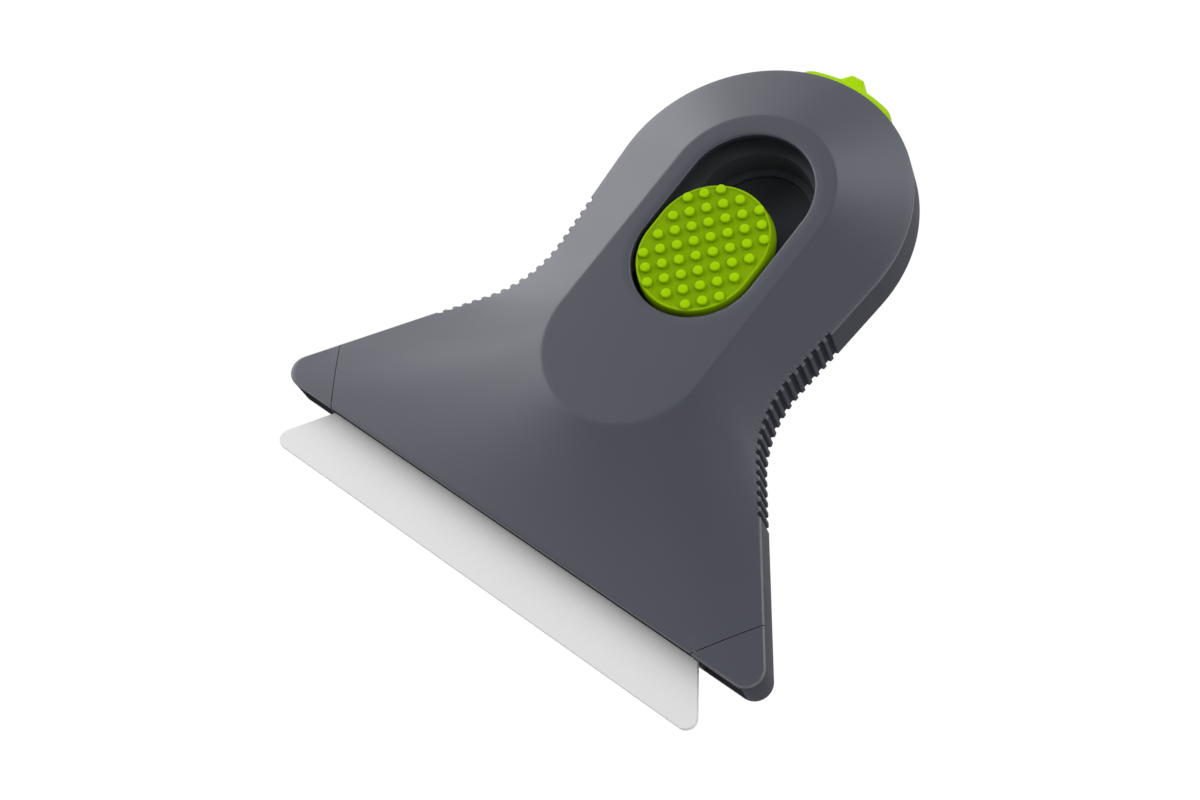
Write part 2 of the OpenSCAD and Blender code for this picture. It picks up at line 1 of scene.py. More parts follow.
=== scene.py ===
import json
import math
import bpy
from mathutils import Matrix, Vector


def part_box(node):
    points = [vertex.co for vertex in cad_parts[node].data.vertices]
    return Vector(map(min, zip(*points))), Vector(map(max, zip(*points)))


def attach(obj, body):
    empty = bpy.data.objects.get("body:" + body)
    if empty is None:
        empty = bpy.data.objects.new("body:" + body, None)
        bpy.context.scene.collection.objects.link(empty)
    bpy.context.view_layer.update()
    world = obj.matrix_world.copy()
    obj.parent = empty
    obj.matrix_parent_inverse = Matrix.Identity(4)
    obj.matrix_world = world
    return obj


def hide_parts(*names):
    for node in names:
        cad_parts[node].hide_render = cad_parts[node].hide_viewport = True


bl_info = {
    "name": "Palm Scraper",
    "version": (1, 0, 0),
    "blender": (4, 5, 0),
    "location": "3D View > Sidebar > Scraper",
    "description": "Models and lights a palm scraper with a sliding blade over its construction model",
    "category": "Add Mesh",
}

from bisect import bisect_left

import bmesh
import bpy
from bpy.props import FloatProperty, FloatVectorProperty, IntProperty, PointerProperty
from mathutils import Matrix, Vector

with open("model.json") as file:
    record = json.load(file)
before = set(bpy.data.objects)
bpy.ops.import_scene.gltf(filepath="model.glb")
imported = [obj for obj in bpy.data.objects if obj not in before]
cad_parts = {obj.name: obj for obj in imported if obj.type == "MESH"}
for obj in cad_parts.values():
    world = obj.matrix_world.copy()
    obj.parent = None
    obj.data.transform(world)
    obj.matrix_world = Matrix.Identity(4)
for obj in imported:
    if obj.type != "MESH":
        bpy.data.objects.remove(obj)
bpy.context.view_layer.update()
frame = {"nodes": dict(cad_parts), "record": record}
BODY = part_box("base_shell")
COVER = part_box("top_cover")
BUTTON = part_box("thumb_button")
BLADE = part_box("blade")
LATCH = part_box("latch_slide")
MM = 0.001
# a groove's section: distance from its middle as a share of its radius, and share of its depth
GROOVE = ((0, 1), (0.42, 0.96), (0.68, 0.83), (0.85, 0.6), (0.95, 0.33), (1.02, 0.13), (1.1, 0.03), (1.22, 0))


class ScraperShape(bpy.types.PropertyGroup):
    """Sizes of the moulded parts, in metres"""

    rear_radius: FloatProperty(
        name="Handle radius", description="Radius of the rounded handle end",
        default=BODY[1][1], min=0.02, unit="LENGTH")
    front: FloatProperty(
        name="Front edge", description="Place of the front edge along Y",
        default=BODY[0][1], max=-0.05, unit="LENGTH")
    half_width: FloatProperty(
        name="Half width", description="Half the width across the front corners",
        default=BODY[1][0], min=0.04, unit="LENGTH")
    taper: FloatProperty(
        name="Taper", description="Angle by which the handle narrows towards the waist",
        default=math.radians(4.63), subtype="ANGLE")
    flank: FloatProperty(
        name="Flank", description="Angle of the straight flank from the Y axis",
        default=math.radians(38.9), subtype="ANGLE")
    waist_radius: FloatProperty(
        name="Waist radius", description="Radius of the hollow grip on each side",
        default=24.8 * MM, min=0.01, unit="LENGTH")
    corner_radius: FloatProperty(
        name="Corner radius", description="Radius of each front corner",
        default=3.4 * MM, min=0.002, unit="LENGTH")
    rim: FloatProperty(
        name="Rim height", description="Height where the side wall meets the top",
        default=8.56 * MM, min=0.005, unit="LENGTH")
    top: FloatProperty(
        name="Top height", description="Height of the flat on top",
        default=COVER[1][2], min=0.009, unit="LENGTH")
    flat_radius: FloatProperty(
        name="Flat radius", description="Radius of the flat's round ends",
        default=17.2 * MM, min=0.01, unit="LENGTH")
    flat_length: FloatProperty(
        name="Flat length", description="Distance between the centres of the flat's round ends",
        default=38 * MM, min=0.01, unit="LENGTH")
    slot_radius: FloatProperty(
        name="Slot radius", description="Radius of the slot's round ends",
        default=13.05 * MM, min=0.01, unit="LENGTH")
    slot_front: FloatProperty(
        name="Slot front", description="Centre of the slot's front end along Y",
        default=-16.5 * MM, unit="LENGTH")
    slot_rear: FloatProperty(
        name="Slot rear", description="Centre of the slot's rear end along Y",
        default=-0.3 * MM, unit="LENGTH")
    slot_fillet: FloatProperty(
        name="Slot fillet", description="Radius of the slot's upper edge",
        default=0.5 * MM, min=0.0001, unit="LENGTH")
    skin: FloatProperty(
        name="Skin", description="Thickness of the cover",
        default=1.4 * MM, min=0.0005, unit="LENGTH")
    wall: FloatProperty(
        name="Wall", description="Thickness of the side wall",
        default=1.6 * MM, min=0.0005, unit="LENGTH")
    floor: FloatProperty(
        name="Floor", description="Thickness of the floor",
        default=1.2 * MM, min=0.0005, unit="LENGTH")
    rim_fillet: FloatProperty(
        name="Rim fillet", description="Radius along the rim",
        default=0.4 * MM, min=0.00005, unit="LENGTH")
    foot_fillet: FloatProperty(
        name="Foot fillet", description="Radius along the lower edge",
        default=0.9 * MM, min=0.00005, unit="LENGTH")
    flat_fillet: FloatProperty(
        name="Flat fillet", description="Softening of the flat's edge",
        default=0.1 * MM, min=0.00002, unit="LENGTH")
    ridge_soft: FloatProperty(
        name="Soft ridge", description="Width over which the ridge to each front corner is rounded off",
        default=28 * MM, min=0, unit="LENGTH")
    hollow: FloatProperty(
        name="Hollow", description="How far the long slopes towards the front corners are hollow",
        default=0.75, min=0, max=1, subtype="FACTOR")
    seam_x: FloatProperty(
        name="Seam", description="Where the seam starts on the front edge",
        default=46.2 * MM, unit="LENGTH")
    seam_angle: FloatProperty(
        name="Seam angle", description="Angle of the seam from the Y axis",
        default=math.radians(34.2), subtype="ANGLE")
    seam_gap: FloatProperty(
        name="Seam gap", description="Width of the seam",
        default=0.15 * MM, unit="LENGTH")
    parting: FloatProperty(
        name="Parting", description="Height where the side wall ends under the cover",
        default=8.2 * MM, unit="LENGTH")
    parting_gap: FloatProperty(
        name="Parting gap", description="Gap between the side wall and the cover",
        default=0.1 * MM, unit="LENGTH")
    mouth_low: FloatProperty(
        name="Mouth low", description="Lower face of the blade's mouth",
        default=3.8 * MM, unit="LENGTH")
    mouth_high: FloatProperty(
        name="Mouth high", description="Upper face of the blade's mouth",
        default=5.7 * MM, unit="LENGTH")
    lip_low: FloatProperty(
        name="Lip low", description="Lower edge of the cover's front lip",
        default=6.3 * MM, unit="LENGTH")
    lip_depth: FloatProperty(
        name="Lip depth", description="Depth of the front lips",
        default=3.6 * MM, unit="LENGTH")


class ScraperGrip(bpy.types.PropertyGroup):
    """The grooves along the hollow grips and the dots of the button"""

    grooves: IntProperty(
        name="Grooves", description="Number of grooves on each side", default=20, min=2)
    groove_pitch: FloatProperty(
        name="Groove pitch", description="Spacing of the grooves along the wall",
        default=2.05 * MM, unit="LENGTH")
    groove_radius: FloatProperty(
        name="Groove radius", description="Half the width of each groove",
        default=0.6 * MM, unit="LENGTH")
    groove_depth: FloatProperty(
        name="Groove depth", description="Depth of each groove",
        default=0.8 * MM, unit="LENGTH")
    groove_start: FloatProperty(
        name="First groove", description="Place of the first groove along Y",
        default=-15.8 * MM, unit="LENGTH")
    dot_pitch: FloatProperty(
        name="Dot pitch", description="Spacing of the grip dots across and along",
        default=2.367 * MM, unit="LENGTH")
    dot_width: FloatProperty(
        name="Dot width", description="Diameter of each grip dot",
        default=2.05 * MM, unit="LENGTH")
    dot_height: FloatProperty(
        name="Dot height", description="Height of each grip dot",
        default=0.7 * MM, unit="LENGTH")


class ScraperColours(bpy.types.PropertyGroup):
    """Base colours of the finishes"""

    body: FloatVectorProperty(
        name="Body", description="Dark moulded plastic of the body and cover",
        default=(0.0285, 0.031, 0.046), size=3, min=0, max=1, subtype="COLOR")
    lime: FloatVectorProperty(
        name="Lime", description="Lime plastic of the button and latch",
        default=(0.38, 0.66, 0.001), size=3, min=0, max=1, subtype="COLOR")
    black: FloatVectorProperty(
        name="Black", description="Black plastic of the inner parts",
        default=(0.062, 0.066, 0.075), size=3, min=0, max=1, subtype="COLOR")
    blade: FloatVectorProperty(
        name="Blade", description="White fired ceramic of the blade",
        default=(0.825, 0.825, 0.825), size=3, min=0, max=1, subtype="COLOR")


# strength of the world's even light on the object
FILL = 0.25
# distance of the softboxes from what the camera looks at
AWAY = 3.5
# each softbox's bearing from +Y towards +X and height, both in degrees, and power in watts
LAMPS = (
    ("Left", 265, 38, 39.5),
    ("Left rear", 290, 38, 15),
    ("Left low", 290, 9, 32),
    ("Rear low", 315, 9, 7.5),
    ("Rear", 3, 38, 25.5),
    ("Rear edge", 21, 24, 15),
    ("Right rear", 60, 39, 25),
    ("Right front", 120, 22, 14),
)
# where the camera stands and looks, how far it is rolled, and its lens and sensor in mm
PLACE = Vector((0.19163, -0.13010, 0.3575))
TARGET = Vector((-0.00443, -0.04734, 0))
ROLL = math.radians(-31.683)
LENS = 64.242
SENSOR = 36
# angle of the blade's ends, and of the mouth's, from the Y axis
BLADE_LEAN = math.radians(37.34)
# how far the cutting tools reach: before the front edge, up from the floor and back along Y
BEFORE, UP, BEHIND = 5 * MM, 30 * MM, 200 * MM
# how far inside the rim the slopes' rings start
CLEAR = 1.2 * MM
# the front ridges soften from this place along Y, over this length
SOFT_FROM, SOFT_RUN = -32 * MM, 12 * MM
# a slope that is longer than the handle's by this much is fully hollow
LONG = 50 * MM

# Shader helpers


class Wire:
    """One output of a shader node, which takes part in Python sums"""

    def __init__(self, nodes, socket):
        self.nodes, self.socket = nodes, socket

    def _math(self, operation, a, b):
        return self.nodes.node("ShaderNodeMath", a, b, settings={"operation": operation})

    def __add__(self, other):
        return self._math("ADD", self, other)

    __radd__ = __add__

    def __mul__(self, other):
        return self._math("MULTIPLY", self, other)

    __rmul__ = __mul__

    def __sub__(self, other):
        return self._math("SUBTRACT", self, other)

    def __rsub__(self, other):
        return self._math("SUBTRACT", other, self)

    def or_more(self, other):
        """The larger of the two"""
        return self._math("MAXIMUM", self, other)


class Nodes:
    """A short way to add nodes to a shader tree"""

    def __init__(self, tree):
        self.tree = tree

    def plug(self, value, slot):
        """Link a wire to a socket, or give the socket a value"""
        if isinstance(value, Wire):
            self.tree.links.new(value.socket, slot)
        else:
            slot.default_value = value

    def fill(self, node, sockets):
        for key, value in sockets.items():
            self.plug(value, node.inputs[key.replace("_", " ")])

    def node(self, kind, *values, output=None, settings=None, **sockets):
        """A new node's first output in use, or the named one; values go to its inputs in use, in order"""
        made = self.tree.nodes.new(kind)
        for key, value in (settings or {}).items():
            setattr(made, key, value)
        for value, slot in zip(values, [s for s in made.inputs if s.enabled]):
            self.plug(value, slot)
        self.fill(made, sockets)
        return Wire(self, made.outputs[output] if output else next(s for s in made.outputs if s.enabled))


class Finish(Nodes):
    """A material under construction"""

    def __init__(self, name):
        self.material = bpy.data.materials.new(name)
        self.material.use_nodes = True
        super().__init__(self.material.node_tree)
        self.shader = self.tree.nodes["Principled BSDF"]
        self.where = self.node("ShaderNodeTexCoord", output="Object")

    def noise(self, scale, detail, stretch=(1, 1, 1)):
        place = self.node("ShaderNodeMapping", Vector=self.where, Scale=stretch)
        return self.node("ShaderNodeTexNoise", Vector=place, Scale=scale, Detail=detail)

    def mix(self, factor, a, b):
        """Colour a where the factor is 0 and b where it is 1"""
        a, b = (c if isinstance(c, Wire) else (*c, 1) for c in (a, b))
        return self.node("ShaderNodeMix", factor, a, b, settings={"data_type": "RGBA"})

    def above(self, low, high):
        """0 under the height low, 1 over the height high"""
        height = self.node("ShaderNodeSeparateXYZ", output="Z", Vector=self.where)
        return self.node("ShaderNodeMapRange", Value=height, From_Min=low, From_Max=high)

    def set(self, **sockets):
        self.fill(self.shader, sockets)

    def bump(self, height, distance):
        self.set(Normal=self.node("ShaderNodeBump", Height=height, Distance=distance))


def times(colour, share):
    return tuple(c * share for c in colour)


def moulded(name, colour, grain, roughness, specular, step=None, edge=None):
    """Moulded plastic with a fine spark-eroded grain

    step is (low, high, colour share, roughness) for what lies under low, and ends at high; the colour share
    there is painted shade.
    edge is the height of an edge that the mould's parting has polished.
    """
    f = Finish(name)
    fine = f.noise(scale=5200, detail=2)
    cloud = f.noise(scale=38, detail=3)
    sheen = 0.06
    dull, bright = (tuple(min(1, c) for c in times(colour, k)) for k in (0.93, 1.07))
    tint = f.mix(cloud, dull, bright)
    gloss = cloud * sheen + (roughness - sheen / 2) + fine * 0.04
    # under the step the colour share darkens the plastic as painted shade; the roughness there is the
    # plastic's own
    if step:
        low, high, share, rough = step
        above = f.above(low, high)
        tint = f.mix(above, f.mix(cloud, times(dull, share), times(bright, share)), tint)
        gloss = gloss * above + (fine * 0.06 + rough) * (1 - above)
    if edge:
        under, over = f.above(edge - 0.34 * MM, edge - 0.3 * MM), f.above(edge - 0.03 * MM, edge + 0.01 * MM)
        f.set(Coat_Weight=under * (1 - over), Coat_Roughness=0.3)
    f.set(Base_Color=tint, Roughness=gloss, Specular_IOR_Level=specular, Specular_Tint=(0.93, 0.94, 1, 1))
    f.bump(fine, grain)


def sheet_metal(name, colour, roughness, along):
    """Ground sheet with fine lines, drawn out as along says"""
    f = Finish(name)
    lines = f.noise(scale=900, detail=3, stretch=along)
    cloud = f.noise(scale=25, detail=2)
    f.set(Base_Color=f.mix(cloud, times(colour, 0.96), colour))
    f.set(Metallic=1.0, Roughness=lines * 0.10 + cloud * 0.05 + roughness)
    f.bump(lines, distance=0.000004)


def fired(name, colour):
    """Matt fired ceramic with a fine grain"""
    f = Finish(name)
    grain = f.noise(scale=2600, detail=4)
    cloud = f.noise(scale=60, detail=2)
    f.set(Base_Color=f.mix(grain * 0.6 + cloud * 0.4, times(colour, 0.93), colour))
    f.set(Roughness=grain * 0.12 + 0.42)
    f.bump(grain, distance=0.000008)


def painted(name, colour):
    """Paint with a slight orange peel"""
    f = Finish(name)
    peel = f.noise(scale=1800, detail=2)
    f.set(Base_Color=f.mix(peel, times(colour, 0.9), colour), Roughness=peel * 0.1 + 0.3)
    f.bump(peel, distance=0.00001)


# Outline and top in plan


def crossing(na, ca, nb, cb):
    """Crossing of the lines na.p = ca and nb.p = cb"""
    d = na.x * nb.y - na.y * nb.x
    return Vector(((ca * nb.y - cb * na.y) / d, (na.x * cb - nb.x * ca) / d))


def spread(n):
    """n even shares from 0, without 1"""
    return [i / n for i in range(n)]


def within(value):
    """The value, kept between 0 and 1"""
    return min(1.0, max(0.0, value))


def lift(q, z):
    return Vector((q.x, q.y, z))


class Outline:
    """Points round the body, from the rear middle by the right side

    Each comes with its inward normal, the depth of a groove there and the name of its stretch.
    """

    def __init__(self, shape, grip):
        self.shape, self.grip = shape, grip
        r, rw, rc = shape.rear_radius, shape.waist_radius, shape.corner_radius
        n1 = Vector((math.cos(shape.taper), -math.sin(shape.taper)))
        n2 = Vector((math.cos(shape.flank), math.sin(shape.flank)))
        corner = Vector((shape.half_width - rc, shape.front + rc))
        waist = crossing(n1, r + rw, n2, n2.dot(corner) + rc + rw)
        t0, t1, t2, t3 = r * n1, waist - rw * n1, waist - rw * n2, corner + rc * n2
        # the first groove is on the handle's straight side
        start = t0.lerp(t1, (t0.y - grip.groove_start) / (t0.y - t1.y))
        lead = (t1 - start).length
        bow = rw * (shape.flank + shape.taper)
        half = []

        def along(s):
            """Point and inward normal at length s from the first groove"""
            if s < lead:
                return start + (t1 - start).normalized() * s, -n1
            if s < lead + bow:
                a = math.pi - shape.taper + (s - lead) / rw
                out = Vector((math.cos(a), math.sin(a)))
                return waist + rw * out, out
            return t2 + (t3 - t2).normalized() * (s - lead - bow), -n2

        def arc(centre, radius, first, last, steps, zone):
            for u in spread(steps):
                a = first - u * (first - last)
                out = Vector((math.cos(a), math.sin(a)))
                half.append((centre + radius * out, -out, 0.0, zone))

        def straight(first, last, inward, steps, zone):
            half.extend((first.lerp(last, u), inward, 0.0, zone) for u in spread(steps))

        arc(Vector((0, 0)), r, math.pi / 2, -shape.taper, 44, "rear")
        pitch = grip.groove_pitch
        straight(t0, along(-pitch / 2)[0], -n1, 6, "side")
        section = [(-away, depth) for away, depth in GROOVE[:0:-1]] + list(GROOVE)
        self.grooves = [along(k * pitch) for k in range(grip.grooves)]
        for k in range(grip.grooves):
            half.append((*along(k * pitch - pitch / 2), 0.0, "side"))
            for away, depth in section:
                place = k * pitch + away * grip.groove_radius
                half.append((*along(place), depth * grip.groove_depth, "side"))
        straight(along((grip.grooves - 0.5) * pitch)[0], t3, -n2, 26, "flank")
        arc(corner, rc, shape.flank, -math.pi / 2, 18, "corner")
        for u in spread(32):
            half.append((Vector(((1 - u) * corner.x, shape.front)), Vector((0, 1)), 0.0, "front"))
        middle = [(Vector((0, shape.front)), Vector((0, 1)), 0.0, "front")]
        flip = [(Vector((-p.x, p.y)), Vector((-n.x, n.y)), g, w) for p, n, g, w in reversed(half[1:])]
        self.points = half + middle + flip
        edge = [p for p, n, g, zone in half + middle]
        self.sides = sorted({-p.y: p.x for p in edge if -shape.flat_length - MM < p.y < MM}.items())
        self.fan = sorted({math.atan2(p.x, -shape.flat_length - p.y): math.hypot(p.x, p.y + shape.flat_length)
                           for p in edge if p.y < -shape.flat_length + 2 * MM}.items())

    def middle(self, q):
        """Nearest point to q on the flat's middle line"""
        return Vector((0, min(0.0, max(-self.shape.flat_length, q.y))))

    def flat_point(self, p, inset=0.0):
        """Nearest point on the edge of the flat"""
        centre = self.middle(p)
        return centre + (self.shape.flat_radius - inset) * (p - centre).normalized()

    def slot_point(self, p, radius):
        """Point on a ring of the slot that faces p"""
        shape = self.shape
        centre = Vector((0, min(shape.slot_rear, max(shape.slot_front, p.y))))
        return centre + radius * (p - centre).normalized()

    def wall_ring(self, inset, z, grooved=True):
        """Ring that follows the side wall; z is a number or a function of the point's zone"""
        ring = []
        for p, n, g, zone in self.points:
            q = p + n * (inset + (g if grooved else 0.0))
            ring.append(lift(q, z(zone) if callable(z) else z))
        return ring

    def reach(self, q):
        """Distance of the rim from the flat's middle line, measured through q"""
        shape = self.shape
        if q.y >= 0:
            return shape.rear_radius
        if q.y > -shape.flat_length:
            table, key = self.sides, -q.y
        else:
            table, key = self.fan, math.atan2(abs(q.x), -shape.flat_length - q.y)
        i = min(max(bisect_left(table, (key,)), 1), len(table) - 1)
        (a, far_a), (b, far_b) = table[i - 1], table[i]
        return far_a + (far_b - far_a) * (key - a) / (b - a)

    def depth(self, q):
        """How far q lies inside the rim, towards the flat's middle line"""
        return self.reach(q) - (q - self.middle(q)).length

    def in_groove(self, q):
        """Whether q lies in a groove, clear of its rounded edges"""
        for mouth, n in self.grooves:
            away = Vector((abs(q.x), q.y)) - mouth
            depth = away.dot(n)
            beside = (away - depth * n).length
            if 0.3 < depth / self.grip.groove_depth < 1.1 and beside < self.grip.groove_radius:
                return True
        return False

    def height(self, q):
        """Height of the slope at q: straight round the handle, slightly hollow where it is long"""
        shape = self.shape
        reach = self.reach(q)
        share = self.depth(q) / (reach - shape.flat_radius)
        long = within((reach - shape.rear_radius) / LONG)
        bend = shape.hollow * long * long * (3 - 2 * long)
        return shape.rim + (shape.top - shape.rim) * share * abs(share) ** bend

    def surface(self, q, share):
        """Height of the slope with its ridges rounded off across the rays from the flat"""
        wide = self.shape.ridge_soft * within((SOFT_FROM - q.y) / SOFT_RUN) * share * (1 - share)
        if wide < 0.05 * MM:
            return self.height(q)
        ray = (q - self.middle(q)).normalized()
        tries = 6
        across = Vector((-ray.y, ray.x)) * wide / tries
        return sum(self.height(q + k * across) for k in range(-tries, tries + 1)) / (2 * tries + 1)

    def rise(self, p, n):
        """Slope of the top at the rim, straight inwards"""
        step = 0.8 * MM
        return (self.height(p + step * n) - self.shape.rim) / step

    def rim_rings(self):
        """Rings round the rim's fillet, which end on the slope"""
        steps, rim, radius = 4, self.shape.rim, self.shape.rim_fillet
        rings = []
        for k in range(steps + 1):
            ring = []
            for p, n, g, zone in self.points:
                m = self.rise(p, n)
                a = math.pi - k / steps * (math.pi / 2 - math.atan(m))
                mid = rim + m * radius - radius * math.sqrt(1 + m * m)
                inward = radius + radius * math.cos(a)
                q = p + n * (g + inward)
                ring.append(lift(q, mid + m * g + radius * math.sin(a)))
            rings.append(ring)
        return rings

    def slope_ring(self, share, drop=0.0, floor=-1.0):
        """Ring on the slope, lowered by drop but not under floor

        share runs from 0, a little inside the rim, to 1 at the flat.
        """
        ring = []
        for p, n, g, zone in self.points:
            s = self.flat_point(p)
            near = CLEAR / (s - p).length
            f = near + share * (1 - near)
            q = p.lerp(s, f)
            ring.append(lift(q, max(self.surface(q, f) - drop, floor)))
        return ring

    def near_flat_ring(self, away):
        """Ring on the slope, a fixed distance outside the flat"""
        ring = []
        for p, n, g, zone in self.points:
            q = self.flat_point(p, -away)
            ring.append(lift(q, self.height(q)))
        return ring

    def flat_ring(self, inset, z):
        return [lift(self.flat_point(p, inset), z) for p, n, g, zone in self.points]

    def slot_ring(self, radius, z):
        return [lift(self.slot_point(self.flat_point(p), radius), z) for p, n, g, zone in self.points]


# Mesh helpers


def clear_selection():
    if bpy.context.mode != "OBJECT":
        bpy.ops.object.mode_set(mode="OBJECT")
    bpy.ops.object.select_all(action="DESELECT")


def only(piece):
    clear_selection()
    bpy.context.view_layer.objects.active = piece
    piece.select_set(True)


def name_piece(piece, name):
    piece.name = piece.data.name = name
    return piece


def loft(name, rings, closed=False):
    """A circle that is extruded ring by ring, each ring moved to its place

    A closed one has its last ring bridged to its first. Any other is capped at both ends.
    """
    clear_selection()
    n = len(rings[0])
    bpy.ops.mesh.primitive_circle_add(vertices=n, radius=1, fill_type="NOTHING", location=(0, 0, 0))
    piece = name_piece(bpy.context.object, name)
    for v, p in zip(piece.data.vertices, rings[0]):
        v.co = p
    edit(piece)
    if not closed:
        bpy.ops.mesh.edge_face_add()
        bpy.ops.mesh.select_all(action="SELECT")
    mesh = bmesh.from_edit_mesh(piece.data)
    order = list(range(n))
    for ring in rings[1:]:
        done = len(mesh.verts)
        bpy.ops.mesh.extrude_edges_indiv()
        mesh = bmesh.from_edit_mesh(piece.data)
        mesh.verts.ensure_lookup_table()
        mesh.verts.index_update()
        place = {v: i for i, v in enumerate(order)}
        order = [0] * n
        for v in mesh.verts[done:]:
            source = next(e.other_vert(v).index for e in v.link_edges if e.other_vert(v).index < done)
            order[place[source]] = v.index
            v.co = ring[place[source]]
    bmesh.update_edit_mesh(piece.data)
    if closed:
        bpy.ops.mesh.select_mode(type="EDGE")
        bpy.ops.mesh.select_all(action="DESELECT")
        bpy.ops.mesh.select_non_manifold(extend=False)
        bpy.ops.mesh.bridge_edge_loops()
    else:
        bpy.ops.mesh.edge_face_add()
    bpy.ops.mesh.select_all(action="SELECT")
    bpy.ops.mesh.normals_make_consistent(inside=False)
    bpy.ops.object.mode_set(mode="OBJECT")
    return piece


def prism(name, points, low, high):
    """A closed block with the given plan"""
    return loft(name, [[Vector((x, y, z)) for x, y in points] for z in (low, high)])


def modify(piece, kind, **values):
    only(piece)
    bpy.ops.object.modifier_add(type=kind)
    step = piece.modifiers[-1]
    for key, value in values.items():
        setattr(step, key, value)
    bpy.ops.object.modifier_apply(modifier=step.name)


def cut(piece, tool):
    """Take the tool's shape away from the piece; the tool is used up"""
    modify(piece, "BOOLEAN", operation="DIFFERENCE", solver="EXACT", object=tool)
    bpy.data.objects.remove(tool)


def bevel(piece, width, segments):
    """Round the edges that turn by more than 60 degrees"""
    modify(piece, "BEVEL", width=width, segments=segments, limit_method="ANGLE", angle_limit=math.radians(60))


def edit(piece):
    """Open the piece in edit mode with all of it selected"""
    only(piece)
    bpy.ops.object.mode_set(mode="EDIT")
    bpy.ops.mesh.select_mode(type="EDGE")
    bpy.ops.mesh.select_all(action="SELECT")


def bisect(piece, point, normal):
    """Cut by a plane and drop what lies on the normal's side"""
    edit(piece)
    bpy.ops.mesh.bisect(plane_co=point, plane_no=normal, use_fill=True, clear_outer=True)
    bpy.ops.object.mode_set(mode="OBJECT")


def close(piece):
    """Merge what meets, close the slits that cuts leave and turn every face outwards"""
    edit(piece)
    bpy.ops.mesh.remove_doubles(threshold=0.002 * MM)
    bpy.ops.mesh.dissolve_degenerate(threshold=0.001 * MM)
    bpy.ops.mesh.select_all(action="DESELECT")
    bpy.ops.mesh.select_non_manifold(extend=False, use_wire=False, use_multi_face=False,
                                     use_non_contiguous=False, use_verts=False)
    bpy.ops.mesh.fill_holes(sides=0)
    bpy.ops.mesh.select_all(action="SELECT")
    bpy.ops.mesh.normals_make_consistent(inside=False)
    if bmesh.from_edit_mesh(piece.data).calc_volume(signed=True) < 0:
        bpy.ops.mesh.flip_normals()
    bpy.ops.object.mode_set(mode="OBJECT")


def smooth(piece, angle):
    only(piece)
    bpy.ops.object.shade_smooth_by_angle(angle=math.radians(angle))


def join(name, pieces):
    clear_selection()
    for piece in pieces:
        piece.select_set(True)
    bpy.context.view_layer.objects.active = pieces[0]
    bpy.ops.object.join()
    return name_piece(bpy.context.object, name)


def copy_of(piece, move=(0, 0, 0), turn=0.0):
    """A copy with its own mesh, moved, and turned about the handle's axis by an angle in degrees"""
    only(piece)
    bpy.ops.object.duplicate()
    twin = bpy.context.object
    twin.data.transform(Matrix.Translation(move) @ Matrix.Rotation(-math.radians(turn), 4, "Z"))
    return twin


def arc_block(name, inner, outer, first, last, low, high, steps=24):
    """Part of a ring about the handle's axis; angles in degrees from +Y towards +X"""
    angles = [math.radians(first + (last - first) * i / steps) for i in range(steps + 1)]
    outside = [(outer * math.sin(a), outer * math.cos(a)) for a in angles]
    inside = [(inner * math.sin(a), inner * math.cos(a)) for a in reversed(angles)]
    return prism(name, outside + inside, low, high)


def tube(name, inner, outer, low, high):
    """An upright tube about the handle's axis"""
    circle = [(math.cos(2 * math.pi * u), math.sin(2 * math.pi * u)) for u in spread(40)]
    return loft(name, [[Vector((r * c, r * d, z)) for c, d in circle]
                       for r, z in ((outer, low), (outer, high), (inner, high), (inner, low))], closed=True)


def quarter(steps):
    """Angles from 0 to a quarter turn"""
    return [k / steps * math.pi / 2 for k in range(steps + 1)]


def add_finish(piece, finish):
    piece.data.materials.append(bpy.data.materials[finish])


def dress(piece, body, finish, node):
    """Give a piece its finish and its place in the frame"""
    piece.data.materials.clear()
    add_finish(piece, finish)
    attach(piece, body)
    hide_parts(node)


# Lower body


def seam_plane(shape, side, gap):
    """Point and outward normal of a seam; gap moves it away from the middle"""
    normal = Vector((side * math.cos(shape.seam_angle), -math.sin(shape.seam_angle), 0))
    point = Vector((side * shape.seam_x, shape.front, 0)) + normal * gap
    return point, normal


def between_seams(shape, back, inset=0.0):
    """Plan between the outer faces of the seams, from in front of the part to the line y = back"""
    tan = math.tan(shape.seam_angle)
    front = shape.front - BEFORE
    near = shape.seam_x + shape.seam_gap / 2 / math.cos(shape.seam_angle) - BEFORE * tan - inset
    far = near + (back - front) * tan
    return [(-near, front), (near, front), (far, back), (-far, back)]


def body_blank(line):
    """The outside with its grooves, and the slopes of the corner tips all round"""
    foot = line.shape.foot_fillet
    rings = [line.wall_ring(foot * (1 - math.sin(a)), foot * (1 - math.cos(a)), a > 0) for a in quarter(5)]
    rings += line.rim_rings()
    rings += [line.slope_ring(k / 10) for k in range(9)]
    return loft("lower_body", rings)


def hollow_out(body, line):
    """Hollow the full plan below the mouth's roof, and only between the tips above it"""
    shape = line.shape
    inner = [p + n * shape.wall for p, n, g, zone in line.points]
    lip = shape.front + shape.lip_depth
    cut(body, prism("hollow", [(q.x, max(q.y, lip)) for q in inner], shape.floor, shape.mouth_high))
    low, over_parting, overlap = shape.mouth_high - 0.01 * MM, 9 * MM, 1.6 * MM
    roof = prism("roof", [(q.x, q.y) for q in inner], low, over_parting)
    for side in (1, -1):
        bisect(roof, *seam_plane(shape, side, shape.seam_gap / 2))
    cut(body, roof)
    cut(body, prism("open_front", between_seams(shape, lip + overlap, 0.02 * MM), low, UP))


